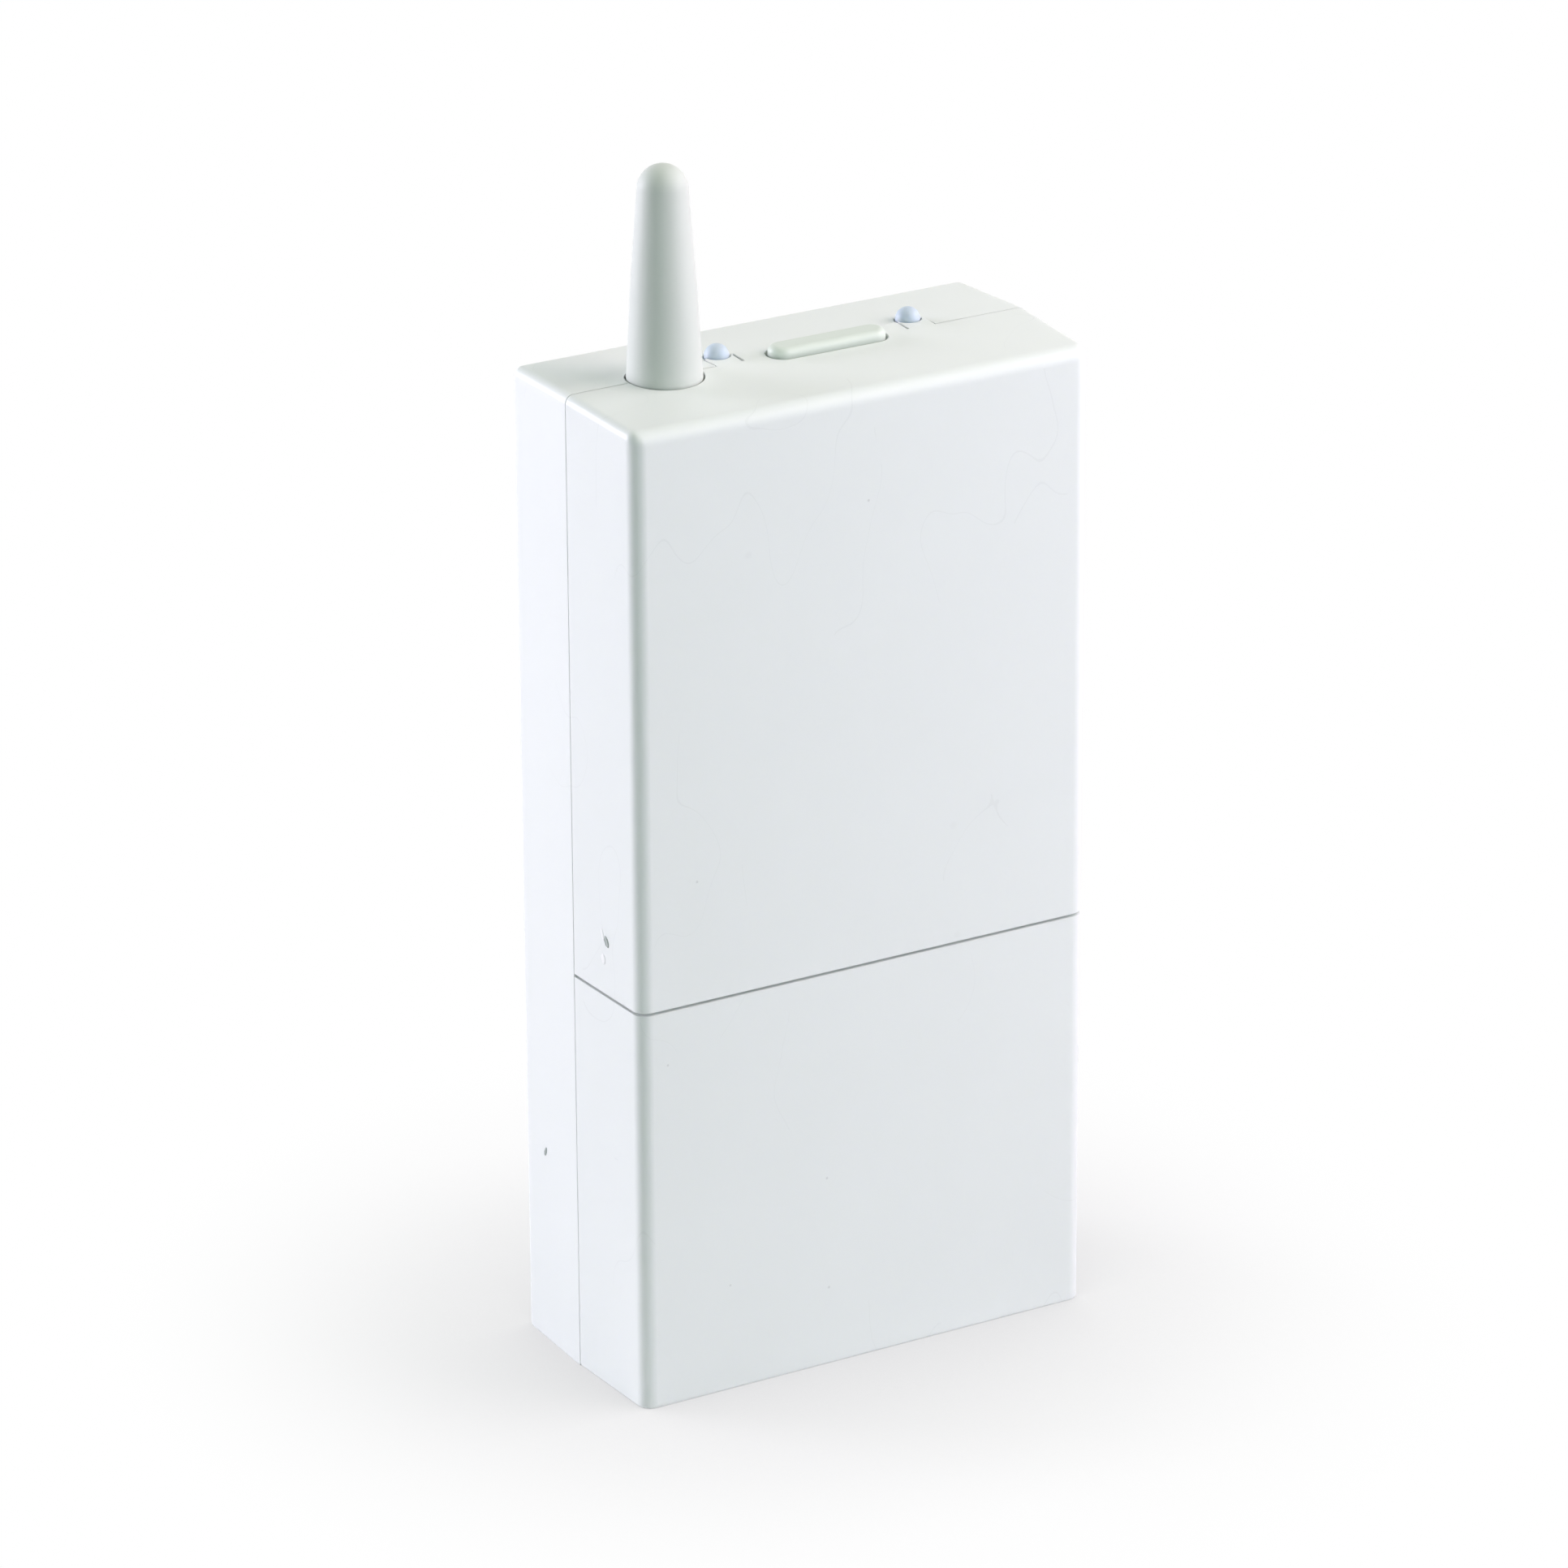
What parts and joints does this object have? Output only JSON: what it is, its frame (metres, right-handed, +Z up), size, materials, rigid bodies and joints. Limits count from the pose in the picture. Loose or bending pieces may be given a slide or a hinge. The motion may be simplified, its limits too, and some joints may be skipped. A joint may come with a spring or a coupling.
{
  "type": "radiator radio receiver",
  "caption": "Wall-hung radio receiver for a radiator, with stub antenna, push button, two indicator lenses and a pull-off terminal cover.",
  "frame": {"origin": "centre of the bottom of the overall box, on the flat foot of the case", "axes": "+Z up along the height of the case, +Y from the front face to the wall side, +X to the right as seen from the front"},
  "size_m": [0.054, 0.025, 0.1292],
  "materials": {
    "case_plastic": "fine satin white moulding",
    "antenna_plastic": "satin grey-white moulding",
    "button_plastic": "satin pale grey moulding",
    "lens_plastic": "milky blue moulded lens",
    "dark_plastic": "black moulding",
    "relay_plastic": "black relay case",
    "film_plastic": "yellow film capacitor box",
    "can_sleeve": "dark shrink sleeve",
    "lacquer": "blue dipped lacquer",
    "fuse_body": "brown moulded fuse",
    "terminal_plastic": "green terminal moulding",
    "board_laminate": "green glass-fibre laminate with solder mask",
    "zinc_steel": "zinc-plated screw steel",
    "spring_wire": "tinned spring wire",
    "brass_metal": "plated brass",
    "can_metal": "tinned sheet"
  },
  "bodies": {
    "case": {"rear_housing": "case_plastic", "front_cover": "case_plastic", "antenna_sleeve": "antenna_plastic", "antenna_coil": "spring_wire", "tact_switch": "dark_plastic", "indicator_left": "lens_plastic", "indicator_right": "lens_plastic", "circuit_board": "board_laminate", "board_screws": "zinc_steel", "cover_screws": "zinc_steel", "cable_clamp": "case_plastic", "clamp_screws": "zinc_steel", "terminal_block": "terminal_plastic", "terminal_clamps": "brass_metal", "terminal_screws": "zinc_steel", "relay": "relay_plastic", "film_capacitor": "film_plastic", "electrolytic_capacitors": "can_sleeve", "varistor": "lacquer", "mains_fuse": "fuse_body", "rectifier_diodes": "dark_plastic", "radio_board": "board_laminate", "radio_pins": "dark_plastic", "radio_can": "can_metal", "controller_chip": "dark_plastic"},
    "button": {"push_button": "button_plastic", "switch_plunger": "dark_plastic"},
    "lower_cover": {"terminal_cover": "case_plastic"}
  },
  "joints": [
    {"name": "button_press", "type": "slide", "parent": "case", "child": "button", "axis": [0, 0, -1], "range_m": [0, 0.0006], "stiffness_N_per_m": 1500},
    {"name": "cover_pull", "type": "slide", "parent": "case", "child": "lower_cover", "axis": [0, -1, 0], "range_m": [0, 0.03]}
  ]
}
